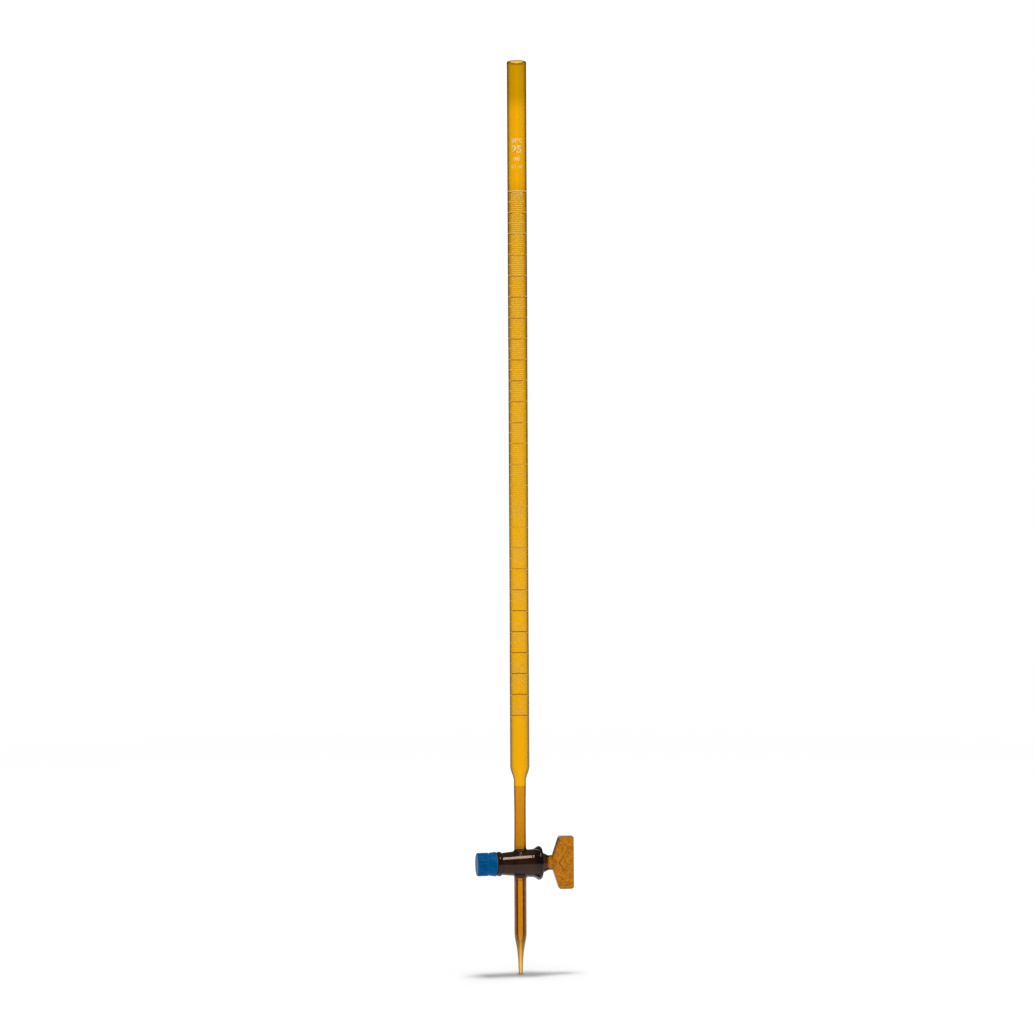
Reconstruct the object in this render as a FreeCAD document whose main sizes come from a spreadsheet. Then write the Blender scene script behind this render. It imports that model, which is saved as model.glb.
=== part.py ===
import FreeCAD
import Part
import math
import os
import Sketcher

# Amber glass burette, 25 mL in 0.1 mL steps, with a T-handled glass stopcock. Millimetres, +Z up.
# The origin is on the tube's axis, halfway along its parallel outer wall.
# +X runs along the stopcock towards the handle, and the scale faces about -Y.

doc = FreeCAD.newDocument("burette")

# Tests on edges
SAME = 0.001  # two lengths this close count as equal
CLEAR = 0.1  # how far an edge's points must stay from the limits of its region
EDGE_SAMPLES = 7  # points tested along an edge

# Driving dimensions
SIZES = [
    # Graduated tube
    ("capacity", 25, "millilitres between the top ring and the bottom ring"),
    ("tube_bore", 9.73, "inside diameter, which sets how far apart the rings stand"),
    ("tube_wall", 1.3, "glass wall of the graduated tube"),
    ("zero_drop", 83.5, "mouth down to the zero ring"),
    ("foot_drop", 32.3, "last ring down to the shoulder"),
    ("mouth_swell", 0.07, "how far the fire-polished mouth swells out"),
    ("mouth_height", 3.0, "height of that swelling"),
    ("mouth_round", 0.45, "rounding of the mouth's two edges"),
    ("shoulder_height", 9.6, "height of the S-shaped shoulder"),
    ("seam_drop", 3.2, "shoulder's foot down to the seam with the stem"),
    # Scale
    ("line_width", 0.3, "height of one line of enamel"),
    ("ink_depth", 0.05, "thickness of the enamel"),
    ("ink_gap", 0.01, "gap between the enamel's solid and the glass"),
    ("half_arc", 112, "degrees that a half-millilitre line spans"),
    ("tenth_arc", 68, "degrees that a tenth-millilitre line spans"),
    ("half_turn", -8, "degrees that the half lines' middle is turned from the tenth lines'"),
    ("scale_turn", 12, "degrees that the scale's middle is turned from -Y towards -X"),
    # Stem
    ("stem_dia", 7.75, "outside diameter at both ends of the stem"),
    ("stem_bore", 5.3, "inside diameter of the stem"),
    ("stem_waist", 0.17, "how far the drawn stem's wall dips at its middle"),
    ("stem_drop", 52.8, "shoulder's foot down to the stopcock's axis"),
    # Stopcock barrel
    ("barrel_left", 15.5, "tube axis to the barrel's small end"),
    ("barrel_right", 13.7, "tube axis to the barrel's large end"),
    ("barrel_thin", 14.1, "outside diameter beside the small bead"),
    ("barrel_thick", 17.8, "outside diameter where the flare starts"),
    ("flare_start", 6.5, "tube axis to the start of the flare"),
    ("flare_radius", 6.0, "hollow radius of the flare"),
    ("small_bead_width", 3.4, "width of the bead at the small end"),
    ("small_bead_radius", 2.1, "radius of that bead's section"),
    ("large_bead_width", 3.3, "width of the bead at the large end"),
    ("large_bead_dia", 20.0, "diameter where the large bead's arc starts and ends"),
    ("large_bead_radius", 2.0, "radius of that bead's section"),
    ("bead_round", 0.5, "rounding of the barrel's two end rims"),
    ("arm_up", 10.6, "stopcock axis up to the stem"),
    ("arm_down", 10.4, "stopcock axis down to the jet tube"),
    ("arm_fillet", 1.3, "rounding where an arm leaves the barrel"),
    ("port_dia", 3.0, "hole from an arm into the tapered seat"),
    ("port_depth", 1.6, "length of that narrow hole beyond the plug"),
    # Stopcock plug
    ("plug_dia", 12.5, "plug diameter at the barrel's large end"),
    ("plug_taper", 10, "length of plug for each unit of diameter lost"),
    ("seat_gap", 0.04, "radial clearance of the ground seat"),
    ("plug_inset", 0.3, "how far the taper's small end stops inside the barrel"),
    ("plug_port", 2.0, "hole through the plug"),
    ("collar_step_gap", 0.4, "barrel's large end to the plug's shoulder disc"),
    ("disc_dia", 13.2, "shoulder disc of the plug"),
    ("disc_width", 0.5, "width of the shoulder disc"),
    ("cone_length", 3.6, "shoulder disc to the neck"),
    ("neck_dia", 9.6, "neck between the plug and its handle"),
    ("neck_length", 2.3, "length of the neck"),
    ("neck_fade", 7.0, "how far the neck's end fades into the handle"),
    ("blade_width", 14.1, "handle's size along the stopcock's axis"),
    ("blade_height", 34.0, "handle's size across the axis"),
    ("blade_root", 6.0, "handle's height where it leaves the neck"),
    ("blade_lean", 4.7, "how far the handle's sloping edges run along the axis"),
    ("blade_thickness", 6.8, "thickness of the handle"),
    ("blade_corner", 1.6, "rounding of the handle's outline"),
    ("blade_edge", 1.2, "rounding of the handle's faces"),
    ("tail_dia", 7.4, "outside of the thread on the plug's tail"),
    ("tail_length", 10.8, "taper's small end to the tail's tip"),
    ("thread_pitch", 1.5, "advance for one turn of the nut"),
    ("thread_depth", 0.6, "depth of the thread's groove"),
    ("thread_half", 0.6, "half the width of the groove's open side"),
    ("thread_over", 0.06, "how far the groove's section reaches past the tail's surface"),
    ("thread_turns", 4.5, "turns of thread on the tail"),
    # Washer, ring, collar and nut
    ("washer_gap", 0.05, "running gap beside the sealing washer"),
    ("washer_dia", 13.0, "outside of the sealing washer"),
    ("washer_width", 0.8, "thickness of the sealing washer"),
    ("ring_section", 1.8, "section of the elastic ring"),
    ("ring_gap", 0.08, "gap between the elastic ring and the tail"),
    ("tail_gap", 0.2, "radial gap of the washer and the collar on the tail"),
    ("collar_gap", 0.3, "barrel's small end to the collar's rim"),
    ("collar_length", 4.2, "length of the collar"),
    ("collar_thin", 14.7, "collar's outside at the nut"),
    ("collar_thick", 15.8, "collar's outside at the barrel"),
    ("collar_round", 0.4, "rounding of the collar's outer edges"),
    ("cup_gap", 0.2, "radial gap between the washer and the collar's cup"),
    ("nut_gap", 0.05, "face gap between the collar and the nut"),
    ("hub_dia", 14.2, "plain hub between the collar and the ribs"),
    ("hub_length", 0.95, "length of the plain hub"),
    ("drum_dia", 14.8, "outside of the ribbed drum"),
    ("drum_length", 7.3, "length of the ribbed drum"),
    ("drum_round", 0.9, "rounding of the drum's closed end"),
    ("drum_lip", 0.22, "rounding of the drum's edge at the hub"),
    ("nut_gap_radial", 0.06, "radial gap between the nut's thread and the tail's"),
    ("nut_floor", 1.6, "thickness of the nut's closed end"),
    ("rib_count", 20, "ribs round the drum"),
    ("flute_radius", 1.0, "radius of the hollow between two ribs"),
    ("flute_depth", 0.45, "depth of that hollow"),
    ("flute_stop", 1.1, "plain rim at the drum's inner end"),
    # Jet tube
    ("jet_dia", 7.9, "outside diameter of the jet tube"),
    ("jet_bore", 3.8, "inside diameter of the jet tube"),
    ("jet_drop", 71.4, "stopcock axis down to the tip"),
    ("draw_height", 27.5, "tip up to the start of the drawn-out part"),
    ("draw_radius", 25.0, "radius of the shoulder where that part starts"),
    ("spout_dia", 3.0, "outside diameter where the straight spout starts"),
    ("spout_height", 5.0, "height of the straight spout"),
    ("orifice_dia", 0.9, "inside diameter of the spout"),
    ("tip_dia", 2.4, "outside diameter of the tip"),
    ("tip_round", 0.3, "rounding of the tip"),
]

# Places worked out from the driving dimensions
PLACES = [
    ("ml_pitch", "1000 / (pi * (Sizes.tube_bore / 2) ^ 2)"),
    ("scale_length", "Sizes.capacity * ml_pitch"),
    ("tube_length", "Sizes.zero_drop + scale_length + Sizes.foot_drop"),
    ("tube_outer", "Sizes.tube_bore / 2 + Sizes.tube_wall"),
    ("last_ring", "Sizes.foot_drop - tube_length / 2"),
    ("axis_height", "-tube_length / 2 - Sizes.shoulder_height - Sizes.stem_drop"),
    ("stem_top", "Sizes.stem_drop - Sizes.seam_drop"),
    ("stem_run", "stem_top - Sizes.arm_up"),
    ("shoulder_out", "tube_outer - Sizes.stem_dia / 2"),
    ("shoulder_in", "(Sizes.tube_bore - Sizes.stem_bore) / 2"),
    ("plug_small", "Sizes.plug_dia / 2 - (Sizes.barrel_left - Sizes.plug_inset + Sizes.barrel_right)"
                   " / (2 * Sizes.plug_taper)"),
    ("seat_small", "Sizes.plug_dia / 2 + Sizes.seat_gap - (Sizes.barrel_left + Sizes.barrel_right)"
                   " / (2 * Sizes.plug_taper)"),
    ("seat_middle", "Sizes.plug_dia / 2 + Sizes.seat_gap - Sizes.barrel_right / (2 * Sizes.plug_taper)"),
    ("disc_left", "Sizes.barrel_right + Sizes.collar_step_gap"),
    ("disc_right", "disc_left + Sizes.disc_width"),
    ("neck_left", "disc_right + Sizes.cone_length"),
    ("blade_left", "neck_left + Sizes.neck_length"),
    ("blade_right", "blade_left + Sizes.blade_width"),
    ("tail_left", "Sizes.barrel_left - Sizes.plug_inset + Sizes.tail_length"),
    ("washer_right", "Sizes.barrel_left + Sizes.washer_gap"),
    ("washer_left", "washer_right + Sizes.washer_width"),
    ("ring_middle", "washer_left + Sizes.washer_gap + Sizes.ring_section / 2"),
    ("cup_floor", "washer_left + 2 * Sizes.washer_gap + Sizes.ring_section"),
    ("sleeve_bore", "Sizes.tail_dia / 2 + Sizes.tail_gap"),
    ("collar_right", "Sizes.barrel_left + Sizes.collar_gap"),
    ("collar_left", "collar_right + Sizes.collar_length"),
    ("hub_right", "collar_left + Sizes.nut_gap"),
    ("drum_right", "hub_right + Sizes.hub_length"),
    ("drum_left", "drum_right + Sizes.drum_length"),
]


def fill_sheet(name, rows, mark):
    sheet = doc.addObject("Spreadsheet::Sheet", name)
    for number, row in enumerate(rows, start=1):
        sheet.set("A%d" % number, row[0])
        sheet.set("B%d" % number, mark + str(row[1]))
        sheet.setAlias("B%d" % number, row[0])
        sheet.set("C%d" % number, row[-1] if len(row) > 2 else "")
    doc.recompute()
    return sheet


sizes = fill_sheet("Sizes", SIZES, "")
places = fill_sheet("Places", PLACES, "=")


def value(expression):
    """The number that an expression over the two sheets gives."""
    return float(places.evalExpression(expression))


def new_body(name, height="0"):
    """An empty body named after its node, raised by an expression."""
    body = doc.addObject("PartDesign::Body", name)
    body.Label = name
    body.setExpression("Placement.Base.z", height)
    return body


def new_sketch(body, name, role):
    sketch = body.newObject("Sketcher::SketchObject", name)
    plane = [item for item in body.Origin.OriginFeatures if item.Role == role][0]
    sketch.AttachmentSupport = [(plane, "")]
    sketch.MapMode = "FlatFace"
    return sketch


def bind(sketch, expression, kind, *where):
    """A dimension of the sketch that follows an expression."""
    index = sketch.addConstraint(Sketcher.Constraint(kind, *where, value(expression)))
    sketch.setExpression("Constraints[%d]" % index, expression)


def arc_between(start, end, radius):
    """The short arc from start to end: anticlockwise if the radius is positive, else clockwise."""
    chord = end - start
    reach = math.sqrt(radius ** 2 - (chord.Length / 2) ** 2)
    side = FreeCAD.Vector(-chord.y, chord.x, 0).normalize() * math.copysign(reach, radius)
    centre = (start + end) / 2 + side
    first, last = (start, end) if radius > 0 else (end, start)
    angles = [math.atan2(point.y - centre.y, point.x - centre.x) for point in (first, last)]
    circle = Part.Circle(centre, FreeCAD.Vector(0, 0, 1), abs(radius))
    return Part.ArcOfCircle(circle, angles[0], angles[1])


def outline(body, name, corners, role="XZ_Plane"):
    """A closed sketch. A corner is (x, y), or (x, y, sign, radius) where an arc leaves it."""
    sketch = new_sketch(body, name, role)
    points = [FreeCAD.Vector(value(corner[0]), value(corner[1]), 0) for corner in corners]
    starts = []
    ends = []
    for number, corner in enumerate(corners):
        start, end = points[number], points[(number + 1) % len(points)]
        if len(corner) == 2:
            sketch.addGeometry(Part.LineSegment(start, end))
            turning = 1
        else:
            turning = corner[2]
            sketch.addGeometry(arc_between(start, end, turning * value(corner[3])))
        starts.append((number, 1 if turning > 0 else 2))
        ends.append((number, 2 if turning > 0 else 1))
    for number, corner in enumerate(corners):
        following = starts[(number + 1) % len(corners)]
        sketch.addConstraint(Sketcher.Constraint("Coincident", *ends[number], *following))
        bind(sketch, corner[0], "DistanceX", *starts[number])
        bind(sketch, corner[1], "DistanceY", *starts[number])
        if len(corner) > 2:
            bind(sketch, corner[3], "Radius", number)
    return sketch


def disc(body, name, role, x, y, radius):
    """A sketch of one circle."""
    sketch = new_sketch(body, name, role)
    circle = Part.Circle(FreeCAD.Vector(value(x), value(y), 0), FreeCAD.Vector(0, 0, 1), value(radius))
    sketch.addGeometry(circle)
    bind(sketch, x, "DistanceX", 0, 3)
    bind(sketch, y, "DistanceY", 0, 3)
    bind(sketch, radius, "Radius", 0)
    return sketch


def turn(body, name, sketch, axis, kind="PartDesign::Revolution", angle="360"):
    """The sketch turned about its own H_Axis or V_Axis, centred on its plane."""
    feature = body.newObject(kind, name)
    feature.Profile = sketch
    feature.ReferenceAxis = (sketch, [axis])
    feature.Midplane = True
    feature.setExpression("Angle", angle)
    doc.recompute()
    return feature


def pull(body, name, sketch, length, kind="PartDesign::Pad", both=False, back=False):
    feature = body.newObject(kind, name)
    feature.Profile = sketch
    feature.Midplane = both
    feature.Reversed = back
    feature.setExpression("Length", length)
    doc.recompute()
    return feature


def round_edges(body, name, test, radius):
    """Fillets each edge of the body whose sampled points all pass the test."""
    base = body.Tip
    chosen = []
    for number, edge in enumerate(base.Shape.Edges, start=1):
        if all(test(point) for point in edge.discretize(EDGE_SAMPLES)):
            chosen.append("Edge%d" % number)
    feature = body.newObject("PartDesign::Fillet", name)
    feature.Base = (base, chosen)
    feature.setExpression("Radius", radius)
    doc.recompute()
    return feature


def close_to(a, b):
    return abs(a - b) < SAME


def bend(rise, run):
    """Radius of each of two equal arcs that make an S of this rise and run, as an expression."""
    return "((%s) ^ 2 + (%s) ^ 2) / (4 * (%s))" % (rise, run, run)


def bulge(chord, height):
    """Radius of an arc over this chord that stands this high, as an expression."""
    return "((%s) ^ 2 / 4 + (%s) ^ 2) / (2 * (%s))" % (chord, height, height)


def graduated_tube():
    """The measuring tube, with its mouth and the shoulder that narrows to the stem."""
    body = new_body("graduated_tube", "-Places.tube_length / 2")
    foot = "-Sizes.shoulder_height"
    seam = "-Sizes.shoulder_height - Sizes.seam_drop"
    outer_bend = bend("Sizes.shoulder_height", "Places.shoulder_out")
    inner_bend = bend("Sizes.shoulder_height", "Places.shoulder_in")
    swell = bulge("Sizes.mouth_height", "Sizes.mouth_swell")
    sketch = outline(body, "tube_wall_section", [
        ("Sizes.stem_dia / 2", seam),
        ("Sizes.stem_dia / 2", foot, -1, outer_bend),
        ("(Sizes.stem_dia / 2 + Places.tube_outer) / 2", foot + " / 2", 1, outer_bend),
        ("Places.tube_outer", "0"),
        ("Places.tube_outer", "Places.tube_length - Sizes.mouth_height", 1, swell),
        ("Places.tube_outer", "Places.tube_length"),
        ("Sizes.tube_bore / 2", "Places.tube_length"),
        ("Sizes.tube_bore / 2", "0", -1, inner_bend),
        ("(Sizes.stem_bore + Sizes.tube_bore) / 4", foot + " / 2", 1, inner_bend),
        ("Sizes.stem_bore / 2", foot),
        ("Sizes.stem_bore / 2", seam),
    ])
    turn(body, "tube_wall_turned", sketch, "V_Axis")
    mouth = places.tube_length
    round_edges(body, "mouth_edges", lambda point: close_to(point.z, mouth), "Sizes.mouth_round")
    return body


def mark_body(name, sweep, turned, patterns):
    """Lines of enamel round the tube: one line, repeated upwards by each (count, length) pattern."""
    body = new_body(name, "Places.last_ring")
    body.AllowCompound = True
    body.Placement.Rotation = FreeCAD.Rotation(FreeCAD.Vector(0, 0, 1), value(turned))
    body.setExpression("Placement.Rotation.Angle", turned)
    inner = "Places.tube_outer + Sizes.ink_gap"
    outer = inner + " + Sizes.ink_depth"
    low = patterns[0][2] + " - Sizes.line_width / 2"
    high = patterns[0][2] + " + Sizes.line_width / 2"
    sketch = outline(body, name + "_section", [(inner, low), (outer, low), (outer, high), (inner, high)])
    line = turn(body, name + "_line", sketch, "V_Axis", angle=sweep)
    up = [item for item in body.Origin.OriginFeatures if item.Role == "Z_Axis"][0]
    multi = body.newObject("PartDesign::MultiTransform", name + "_rows")
    multi.Originals = [line]
    steps = []
    for number, (count, length, _) in enumerate(patterns, start=1):
        pattern = body.newObject("PartDesign::LinearPattern", "%s_rows_%d" % (name, number))
        pattern.Direction = (up, [""])
        pattern.setExpression("Occurrences", count)
        pattern.setExpression("Length", length)
        steps.append(pattern)
    multi.Transformations = steps
    body.Tip = multi
    doc.recompute()
    return body


def inlet_stem():
    """The narrow tube between the shoulder and the stopcock, slightly waisted where it was drawn."""
    body = new_body("inlet_stem", "Places.axis_height")
    sketch = outline(body, "stem_section", [
        ("Sizes.stem_dia / 2", "Sizes.arm_up", -1, bulge("Places.stem_run", "Sizes.stem_waist")),
        ("Sizes.stem_dia / 2", "Places.stem_top"),
        ("Sizes.stem_bore / 2", "Places.stem_top"),
        ("Sizes.stem_bore / 2", "Sizes.arm_up"),
    ])
    turn(body, "stem_turned", sketch, "V_Axis")
    return body


def arm_channel(body, name, bore, end, side):
    """The way through one arm: the arm's own bore, a short cone and the port into the seat."""
    port = side + "(Places.seat_middle + Sizes.port_depth)"
    cone = side + "(Places.seat_middle + Sizes.port_depth + (%s - Sizes.port_dia) / 2)" % bore
    sketch = outline(body, name + "_section", [
        ("0", "0"),
        ("0", end),
        (bore + " / 2", end),
        (bore + " / 2", cone),
        ("Sizes.port_dia / 2", port),
        ("Sizes.port_dia / 2", "0"),
    ])
    turn(body, name, sketch, "V_Axis", kind="PartDesign::Groove")


def stopcock_barrel():
    """The tapered housing of the stopcock, with a bead at each end and its two arms."""
    body = new_body("stopcock_barrel", "Places.axis_height")
    sketch = outline(body, "barrel_section", [
        ("-Sizes.barrel_left", "0"),
        ("-Sizes.barrel_left", "Sizes.barrel_thin / 2", -1, "Sizes.small_bead_radius"),
        ("-Sizes.barrel_left + Sizes.small_bead_width", "Sizes.barrel_thin / 2"),
        ("Sizes.flare_start", "Sizes.barrel_thick / 2", 1, "Sizes.flare_radius"),
        ("Sizes.barrel_right - Sizes.large_bead_width", "Sizes.large_bead_dia / 2",
         -1, "Sizes.large_bead_radius"),
        ("Sizes.barrel_right", "Sizes.large_bead_dia / 2"),
        ("Sizes.barrel_right", "0"),
    ])
    turn(body, "barrel_turned", sketch, "H_Axis")
    upper = disc(body, "upper_arm_circle", "XY_Plane", "0", "0", "Sizes.stem_dia / 2")
    pull(body, "upper_arm", upper, "Sizes.arm_up")
    lower = disc(body, "lower_arm_circle", "XY_Plane", "0", "0", "Sizes.jet_dia / 2")
    pull(body, "lower_arm", lower, "Sizes.arm_down", back=True)

    def on_root(radius, sign, end):
        return lambda point: (close_to(math.hypot(point.x, point.y), radius)
                              and CLEAR < sign * point.z < end - CLEAR)

    round_edges(body, "upper_arm_root", on_root(sizes.stem_dia / 2, 1, sizes.arm_up), "Sizes.arm_fillet")
    round_edges(body, "lower_arm_root", on_root(sizes.jet_dia / 2, -1, sizes.arm_down), "Sizes.arm_fillet")
    ends = (-sizes.barrel_left, sizes.barrel_right)
    round_edges(body, "end_rims", lambda point: any(close_to(point.x, end) for end in ends),
                "Sizes.bead_round")
    arm_channel(body, "upper_channel", "Sizes.stem_bore", "Sizes.arm_up", "")
    arm_channel(body, "lower_channel", "Sizes.jet_bore", "-Sizes.arm_down", "-")
    seat = outline(body, "seat_section", [
        ("-Sizes.barrel_left", "0"),
        ("-Sizes.barrel_left", "Places.seat_small"),
        ("Sizes.barrel_right", "Sizes.plug_dia / 2 + Sizes.seat_gap"),
        ("Sizes.barrel_right", "0"),
    ])
    turn(body, "tapered_seat", seat, "H_Axis", kind="PartDesign::Groove")
    return body


def jet_tube():
    """The thick-walled outlet tube, drawn out to a fine jet."""
    body = new_body("jet_tube", "Places.axis_height")
    draw_top = "-Sizes.jet_drop + Sizes.draw_height"
    spout_top = "-Sizes.jet_drop + Sizes.spout_height"
    fall = "(Sizes.draw_height - Sizes.spout_height)"

    def drawn_curve(wide, narrow):
        """Two tangent arcs that draw the wide radius down to the narrow one: their meeting point and
        the lower arc's radius."""
        loss = "((%s - %s) / 2)" % (wide, narrow)
        both = "((%s ^ 2 + %s ^ 2) / (2 * %s))" % (fall, loss, loss)
        meet_x = "%s / 2 - Sizes.draw_radius * %s / %s" % (wide, loss, both)
        meet_z = "%s - Sizes.draw_radius * %s / %s" % (draw_top, fall, both)
        return meet_x, meet_z, both + " - Sizes.draw_radius"

    outer_x, outer_z, outer_radius = drawn_curve("Sizes.jet_dia", "Sizes.spout_dia")
    inner_x, inner_z, inner_radius = drawn_curve("Sizes.jet_bore", "Sizes.orifice_dia")
    sketch = outline(body, "jet_section", [
        ("Sizes.tip_dia / 2", "-Sizes.jet_drop"),
        ("Sizes.spout_dia / 2", spout_top, -1, outer_radius),
        (outer_x, outer_z, 1, "Sizes.draw_radius"),
        ("Sizes.jet_dia / 2", draw_top),
        ("Sizes.jet_dia / 2", "-Sizes.arm_down"),
        ("Sizes.jet_bore / 2", "-Sizes.arm_down"),
        ("Sizes.jet_bore / 2", draw_top, -1, "Sizes.draw_radius"),
        (inner_x, inner_z, 1, inner_radius),
        ("Sizes.orifice_dia / 2", spout_top),
        ("Sizes.orifice_dia / 2", "-Sizes.jet_drop"),
    ])
    turn(body, "jet_turned", sketch, "V_Axis")
    tip = sizes.tip_dia / 2

    def on_tip(point):
        return close_to(point.z, -sizes.jet_drop) and close_to(math.hypot(point.x, point.y), tip)

    round_edges(body, "tip_edge", on_tip, "Sizes.tip_round")
    return body


def stopcock_plug():
    """The ground plug, its neck, its T handle and its threaded tail, all one pressed piece."""
    body = new_body("stopcock_plug", "Places.axis_height")
    taper_left = "-Sizes.barrel_left + Sizes.plug_inset"
    core = outline(body, "plug_section", [
        ("-Places.tail_left", "0"),
        ("-Places.tail_left", "Sizes.tail_dia / 2"),
        (taper_left, "Sizes.tail_dia / 2"),
        (taper_left, "Places.plug_small"),
        ("Sizes.barrel_right", "Sizes.plug_dia / 2"),
        ("Places.disc_left", "Sizes.plug_dia / 2"),
        ("Places.disc_left", "Sizes.disc_dia / 2"),
        ("Places.disc_right", "Sizes.disc_dia / 2"),
        ("Places.neck_left", "Sizes.neck_dia / 2"),
        ("Places.blade_left", "Sizes.neck_dia / 2"),
        ("Places.blade_left + Sizes.neck_fade", "Sizes.blade_thickness / 4"),
        ("Places.blade_left + Sizes.neck_fade", "0"),
    ])
    turn(body, "plug_turned", core, "H_Axis")
    blade = outline(body, "blade_outline", [
        ("Places.blade_left", "-Sizes.blade_root / 2"),
        ("Places.blade_left + Sizes.blade_lean", "-Sizes.blade_height / 2"),
        ("Places.blade_right", "-Sizes.blade_height / 2"),
        ("Places.blade_right", "Sizes.blade_height / 2"),
        ("Places.blade_left + Sizes.blade_lean", "Sizes.blade_height / 2"),
        ("Places.blade_left", "Sizes.blade_root / 2"),
    ])
    pull(body, "blade", blade, "Sizes.blade_thickness", both=True)
    half_height = sizes.blade_height / 2
    half_thick = sizes.blade_thickness / 2
    round_edges(body, "blade_corners",
                lambda point: close_to(abs(point.z), half_height) and point.x > 0
                and (close_to(point.x, places.blade_right)
                     or close_to(point.x, places.blade_left + sizes.blade_lean)),
                "Sizes.blade_corner")
    round_edges(body, "blade_edges",
                lambda point: close_to(abs(point.y), half_thick) and point.x > places.blade_left
                and math.hypot(point.y, point.z) > sizes.neck_dia / 2 + CLEAR,
                "Sizes.blade_edge")
    groove_middle = "-Places.tail_left - Sizes.thread_pitch"
    groove_top = "Sizes.tail_dia / 2 + Sizes.thread_over"
    groove = outline(body, "thread_section", [
        (groove_middle, "Sizes.tail_dia / 2 - Sizes.thread_depth"),
        (groove_middle + " - Sizes.thread_half", groove_top),
        (groove_middle + " + Sizes.thread_half", groove_top),
    ])
    thread = body.newObject("PartDesign::SubtractiveHelix", "thread")
    thread.Profile = groove
    thread.ReferenceAxis = (groove, ["H_Axis"])
    thread.Mode = "pitch-turns-angle"
    thread.setExpression("Pitch", "Sizes.thread_pitch")
    thread.setExpression("Turns", "Sizes.thread_turns + 1")
    doc.recompute()
    port = disc(body, "plug_port_circle", "XY_Plane", "0", "0", "Sizes.plug_port / 2")
    pull(body, "plug_port", port, "2 * Sizes.plug_dia", kind="PartDesign::Pocket", both=True)
    return body


def sealing_washer():
    """The slippery washer that turns with the plug against the barrel's small end."""
    body = new_body("sealing_washer", "Places.axis_height")
    sketch = outline(body, "washer_section", [
        ("-Places.washer_left", "Places.sleeve_bore"),
        ("-Places.washer_left", "Sizes.washer_dia / 2"),
        ("-Places.washer_right", "Sizes.washer_dia / 2"),
        ("-Places.washer_right", "Places.sleeve_bore"),
    ])
    turn(body, "washer_turned", sketch, "H_Axis")
    return body


def elastic_ring():
    """The rubber ring that keeps the plug pulled into its seat."""
    body = new_body("elastic_ring", "Places.axis_height")
    middle = "Sizes.tail_dia / 2 + Sizes.ring_gap + Sizes.ring_section / 2"
    sketch = disc(body, "ring_circle", "XZ_Plane", "-Places.ring_middle", middle, "Sizes.ring_section / 2")
    turn(body, "ring_turned", sketch, "H_Axis")
    return body


def thrust_collar():
    """The blue cup that holds the washer and the ring against the barrel."""
    body = new_body("thrust_collar", "Places.axis_height")
    cup = "Sizes.washer_dia / 2 + Sizes.cup_gap"
    sketch = outline(body, "collar_section", [
        ("-Places.collar_left", "Places.sleeve_bore"),
        ("-Places.collar_left", "Sizes.collar_thin / 2"),
        ("-Places.collar_right", "Sizes.collar_thick / 2"),
        ("-Places.collar_right", cup),
        ("-Places.cup_floor", cup),
        ("-Places.cup_floor", "Places.sleeve_bore"),
    ])
    turn(body, "collar_turned", sketch, "H_Axis")
    rims = ((-places.collar_left, sizes.collar_thin / 2), (-places.collar_right, sizes.collar_thick / 2))

    def on_rim(point):
        return any(close_to(point.x, x) and close_to(math.hypot(point.y, point.z), r) for x, r in rims)

    round_edges(body, "collar_edges", on_rim, "Sizes.collar_round")
    return body


def retaining_nut():
    """The blue ribbed cap nut on the plug's tail."""
    body = new_body("retaining_nut", "Places.axis_height")
    bore = "Sizes.tail_dia / 2 + Sizes.nut_gap_radial"
    sketch = outline(body, "nut_section", [
        ("-Places.drum_left", "0"),
        ("-Places.drum_left", "Sizes.drum_dia / 2"),
        ("-Places.drum_right", "Sizes.drum_dia / 2"),
        ("-Places.drum_right", "Sizes.hub_dia / 2"),
        ("-Places.hub_right", "Sizes.hub_dia / 2"),
        ("-Places.hub_right", bore),
        ("-Places.drum_left + Sizes.nut_floor", bore),
        ("-Places.drum_left + Sizes.nut_floor", "0"),
    ])
    turn(body, "nut_turned", sketch, "H_Axis")

    def on_drum(rim):
        return lambda point: (close_to(point.x, -rim)
                              and close_to(math.hypot(point.y, point.z), sizes.drum_dia / 2))

    round_edges(body, "closed_end_edge", on_drum(places.drum_left), "Sizes.drum_round")
    round_edges(body, "hub_side_edge", on_drum(places.drum_right), "Sizes.drum_lip")
    middle = "Sizes.drum_dia / 2 + Sizes.flute_radius - Sizes.flute_depth"
    circle = disc(body, "flute_circle", "YZ_Plane", "0", middle, "Sizes.flute_radius")
    circle.setExpression("AttachmentOffset.Base.z", "-Places.drum_right - Sizes.flute_stop")
    flute = pull(body, "flute", circle, "Sizes.drum_length", kind="PartDesign::Pocket")
    pattern = body.newObject("PartDesign::PolarPattern", "flutes")
    pattern.Originals = [flute]
    pattern.Axis = ([item for item in body.Origin.OriginFeatures if item.Role == "X_Axis"][0], [""])
    pattern.Angle = 360
    pattern.setExpression("Occurrences", "Sizes.rib_count")
    body.Tip = pattern
    doc.recompute()
    return body


def main():
    ring_patterns = [("Sizes.capacity + 1", "Places.scale_length", "0")]
    half_patterns = [("Sizes.capacity", "Places.scale_length - Places.ml_pitch", "Places.ml_pitch / 2")]
    tenth = "Places.ml_pitch / 10"
    tenth_patterns = [
        ("4", "3 * " + tenth, tenth),
        ("2", "Places.ml_pitch / 2", tenth),
        ("Sizes.capacity", "Places.scale_length - Places.ml_pitch", tenth),
    ]
    front = "-90 - Sizes.scale_turn"
    return [
        graduated_tube(),
        mark_body("one_ml_rings", "360", front, ring_patterns),
        mark_body("half_ml_lines", "Sizes.half_arc", front + " + Sizes.half_turn", half_patterns),
        mark_body("tenth_ml_lines", "Sizes.tenth_arc", front, tenth_patterns),
        inlet_stem(),
        stopcock_barrel(),
        jet_tube(),
        stopcock_plug(),
        sealing_washer(),
        elastic_ring(),
        thrust_collar(),
        retaining_nut(),
    ]


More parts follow.
